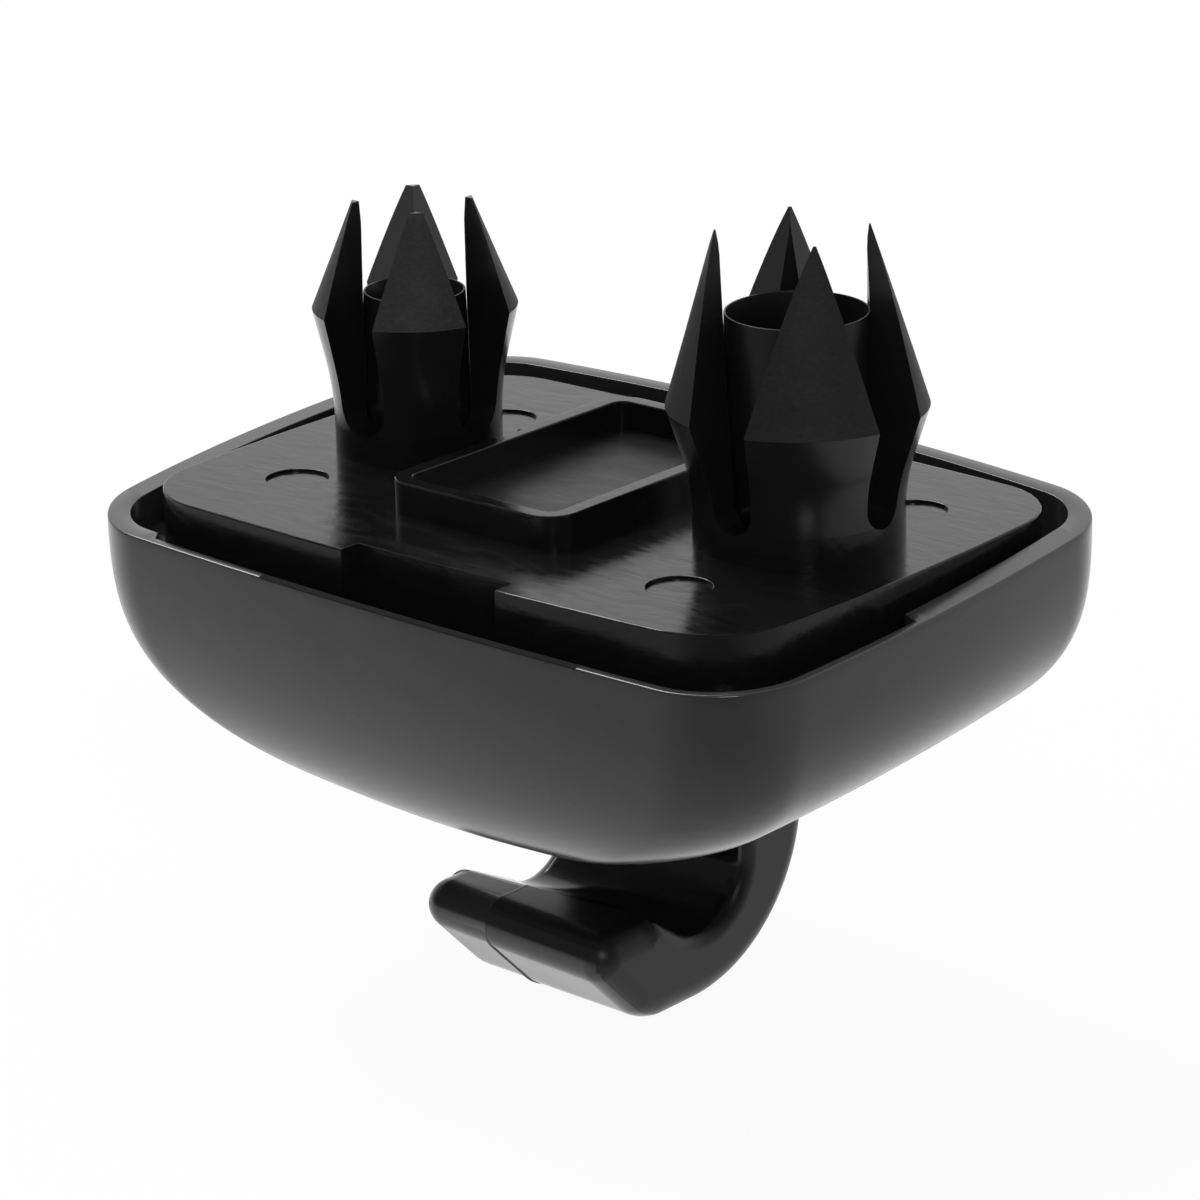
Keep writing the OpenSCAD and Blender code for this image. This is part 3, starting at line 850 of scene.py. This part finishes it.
def build_hook(finishes):
    half = HOOK_W / 2
    turns = [math.pi / 2 * i / ROUND_STEPS for i in range(ROUND_STEPS + 1)]
    ends = [OUTER_ROUND * (1 - math.cos(turn)) for turn in turns]
    stations = [(-half + d, d, 2 * MOULD_STEP) for d in ends]
    stations += [(MOULD_LINE_X + x, OUTER_ROUND, step) for x, step in MOULD_LINE]
    stations += [(half - d, d, MOULD_STEP) for d in reversed(ends)]
    mesh = new_mesh("hook_moulding", *loft([hook_ring(*station) for station in stations]))
    tidy_mesh(mesh, FINE_JOIN)
    for face in mesh.polygons:
        face.material_index = 1 if abs(face.normal.x) > SATIN_FACING else 0
    finish_piece("hook_moulding", mesh, finishes, SHARP["hook"], "base",
                 ["visor_hook"])


# ---- Studio ----
def mirrored_light(nodes, direction, base, slope):
    """Brightness that falls towards the camera's side, as with a dark cloth behind the camera,
    between two soft light strips that stand beside it."""
    level = nodes.value("ADD", base, nodes.dot(direction, slope))
    for strip, gain in STRIPS:
        near = nodes.remap(nodes.dot(direction, strip), STRIP_OUTER, STRIP_FULL, 0.0, gain)
        level = nodes.value("ADD", level, near)
    return nodes.value("MINIMUM", nodes.value("MAXIMUM", level, SKY_LEAST), SKY_MOST)


def build_world():
    """White to the camera, a graded sky to what mirrors it and plain light to the rest."""
    world = bpy.data.worlds.new("studio")
    bpy.context.scene.world = world
    nodes = empty_nodes(world)
    path = nodes.add("ShaderNodeLightPath")
    direction = nodes.add("ShaderNodeTexCoord").outputs["Generated"]

    def background(strength):
        node = nodes.add("ShaderNodeBackground")
        node.inputs["Color"].default_value = (1, 1, 1, 1)
        node.inputs["Strength"].default_value = strength
        return node

    mirrored = background(WHITE)
    sky = mirrored_light(nodes, direction, SKY_BASE, SKY_SLOPE)
    nodes.link(sky, mirrored.inputs["Strength"])
    light = nodes.mix_shaders(path.outputs["Is Glossy Ray"], background(WORLD_LIGHT).outputs[0],
                              mirrored.outputs[0])
    seen = nodes.value("MAXIMUM", path.outputs["Is Camera Ray"],
                       path.outputs["Is Transmission Ray"])
    out = nodes.add("ShaderNodeOutputWorld")
    nodes.link(nodes.mix_shaders(seen, light, background(WHITE).outputs[0]), out.inputs[0])


def build_floor(height):
    """A pale floor, near white to the camera, that keeps the shadow."""
    bpy.ops.mesh.primitive_plane_add(size=FLOOR_SIZE, location=(0, 0, height))
    floor = bpy.context.object
    floor.name = "floor"
    made = bpy.data.materials.new("floor_white")
    nodes = empty_nodes(made)
    path = nodes.add("ShaderNodeLightPath")
    place = nodes.add("ShaderNodeTexCoord").outputs["Object"]
    pale = nodes.add("ShaderNodeBsdfDiffuse")
    pale.inputs["Color"].default_value = FLOOR_COLOUR
    glow = nodes.add("ShaderNodeEmission")
    glow.inputs["Strength"].default_value = WHITE
    lifted = nodes.add("ShaderNodeVectorMath", operation="ADD")
    nodes.link(place, lifted.inputs[0])
    lifted.inputs[1].default_value = (0, 0, FLOOR_BLEND)
    outward = nodes.add("ShaderNodeVectorMath", operation="NORMALIZE")
    nodes.link(lifted.outputs[0], outward.inputs[0])
    mirrored = nodes.add("ShaderNodeEmission")
    level = mirrored_light(nodes, outward.outputs[0], FLOOR_BASE, FLOOR_SLOPE)
    nodes.link(level, mirrored.inputs["Strength"])
    share = nodes.value("MULTIPLY", path.outputs["Is Camera Ray"], FLOOR_WHITE_SHARE)
    seen = nodes.mix_shaders(share, pale.outputs[0], glow.outputs[0])
    out = nodes.add("ShaderNodeOutputMaterial")
    surface = nodes.mix_shaders(path.outputs["Is Glossy Ray"], seen, mirrored.outputs[0])
    nodes.link(surface, out.inputs[0])
    floor.data.materials.append(made)


def build_lamp(name, place, size, watts):
    """A soft area lamp aimed at the origin."""
    data = bpy.data.lights.new(name, "AREA")
    data.shape = "RECTANGLE"
    data.size, data.size_y = size
    data.energy = watts
    lamp = bpy.data.objects.new(name, data)
    bpy.context.scene.collection.objects.link(lamp)
    lamp.location = place
    lamp.rotation_euler = (-Vector(place)).to_track_quat("-Z", "Y").to_euler()


def build_camera():
    data = bpy.data.cameras.new("camera")
    data.lens = CAMERA_LENS
    data.sensor_width = SENSOR
    data.shift_x, data.shift_y = CAMERA_SHIFT
    data.clip_start, data.clip_end = CAMERA_CLIP
    camera = bpy.data.objects.new("camera", data)
    bpy.context.scene.collection.objects.link(camera)
    forward = Vector((
        math.sin(CAMERA_YAW) * math.cos(CAMERA_PITCH),
        math.cos(CAMERA_YAW) * math.cos(CAMERA_PITCH),
        math.sin(CAMERA_PITCH),
    ))
    right = Vector((math.cos(CAMERA_YAW), -math.sin(CAMERA_YAW), 0))
    up = right.cross(forward)
    turned_right = math.cos(CAMERA_ROLL) * right + math.sin(CAMERA_ROLL) * up
    turned_up = -math.sin(CAMERA_ROLL) * right + math.cos(CAMERA_ROLL) * up
    turn = Matrix((turned_right, turned_up, -forward)).transposed()
    camera.matrix_world = Matrix.Translation(CAMERA_PLACE) @ turn.to_4x4()
    bpy.context.scene.camera = camera


# ---- The scene ----
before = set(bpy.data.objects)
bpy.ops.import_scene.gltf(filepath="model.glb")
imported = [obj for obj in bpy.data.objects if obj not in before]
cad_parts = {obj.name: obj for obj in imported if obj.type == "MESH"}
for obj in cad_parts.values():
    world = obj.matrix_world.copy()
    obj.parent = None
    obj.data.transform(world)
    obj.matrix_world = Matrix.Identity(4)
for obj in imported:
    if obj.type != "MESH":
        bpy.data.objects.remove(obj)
cad_box = [list(corner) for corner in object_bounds()]

cover_finishes = [cover_plastic(*values) for values in COVER_FINISHES]
# The small plug's grain is painted lighter than the large plug's, as painted light.
large_grain, small_grain_painted_lighter = prong_grain(*LARGE_GRAIN), prong_grain(*SMALL_GRAIN_PAINTED_LIGHTER)
prong_finish, post_finish = clouded_black(*PRONG_FINISH), clouded_black(*POST_FINISH)
build_cover(cover_finishes)
build_plate(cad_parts["base_plate"], plate_black(), tray_grey())
build_hook([hook_black(*values) for values in HOOK_FINISHES])
for plug, grain_finish in ((LARGE, large_grain), (SMALL, small_grain_painted_lighter)):
    build_boss(plug, cover_finishes[0])
    build_expander(plug, post_finish)
    for quarter in range(4):
        build_prong(plug, quarter, grain_finish, prong_finish)

build_world()
build_floor(cad_box[0][2] - FLOOR_GAP)
for lamp in LAMPS:
    build_lamp(*lamp)
build_camera()

bpy.context.scene.view_settings.view_transform = "Standard"
